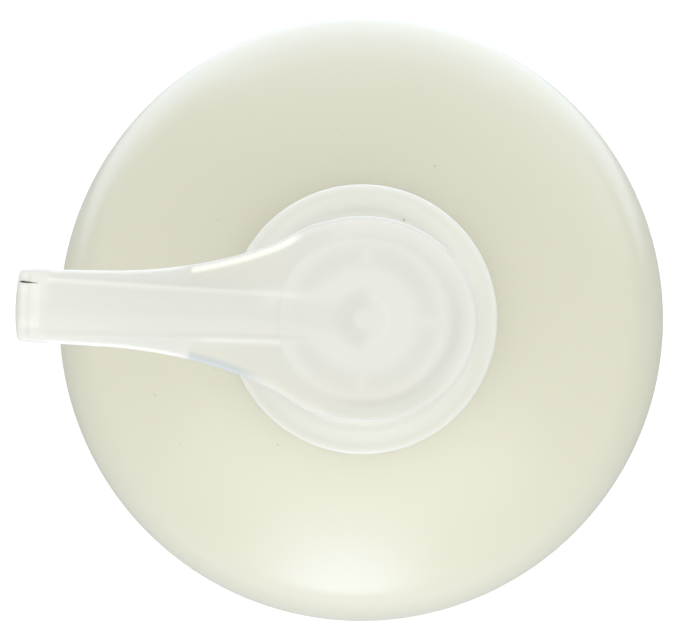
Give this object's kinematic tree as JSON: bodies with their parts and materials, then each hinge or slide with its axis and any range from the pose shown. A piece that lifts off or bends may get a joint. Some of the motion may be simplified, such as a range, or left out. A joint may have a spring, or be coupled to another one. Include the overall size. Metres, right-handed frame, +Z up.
{
  "type": "lotion bottle",
  "caption": "Upright round bottle in plain cream plastic with a domed shoulder, a smooth screw collar and an uncoloured press pump whose long spout swivels.",
  "frame": {"origin": "middle of the underside, on the bottle's axis, at the level of the standing ring", "axes": "+Z up along the bottle's axis; the spout points along -X at rest; +Y follows from the right-hand rule"},
  "size_m": [0.0787, 0.078, 0.1945],
  "materials": {
    "cream_plastic": "opaque cream blow-moulded plastic, satin",
    "natural_plastic": "uncoloured milky moulded plastic, light shows through it"
  },
  "bodies": {
    "bottle": {"bottle": "cream_plastic", "collar": "natural_plastic", "lock_ring": "natural_plastic"},
    "stem": {"stem": "natural_plastic"},
    "head": {"head": "natural_plastic"}
  },
  "joints": [
    {"name": "press", "type": "slide", "parent": "bottle", "child": "stem", "axis": [0, 0, -1], "range_m": [0, 0.014], "stiffness_N_per_m": 400, "springref_m": -0.005},
    {"name": "swivel", "type": "hinge", "parent": "stem", "child": "head", "pos_m": [0, 0, 0.18], "axis": [0, 0, 1], "continuous": true}
  ]
}
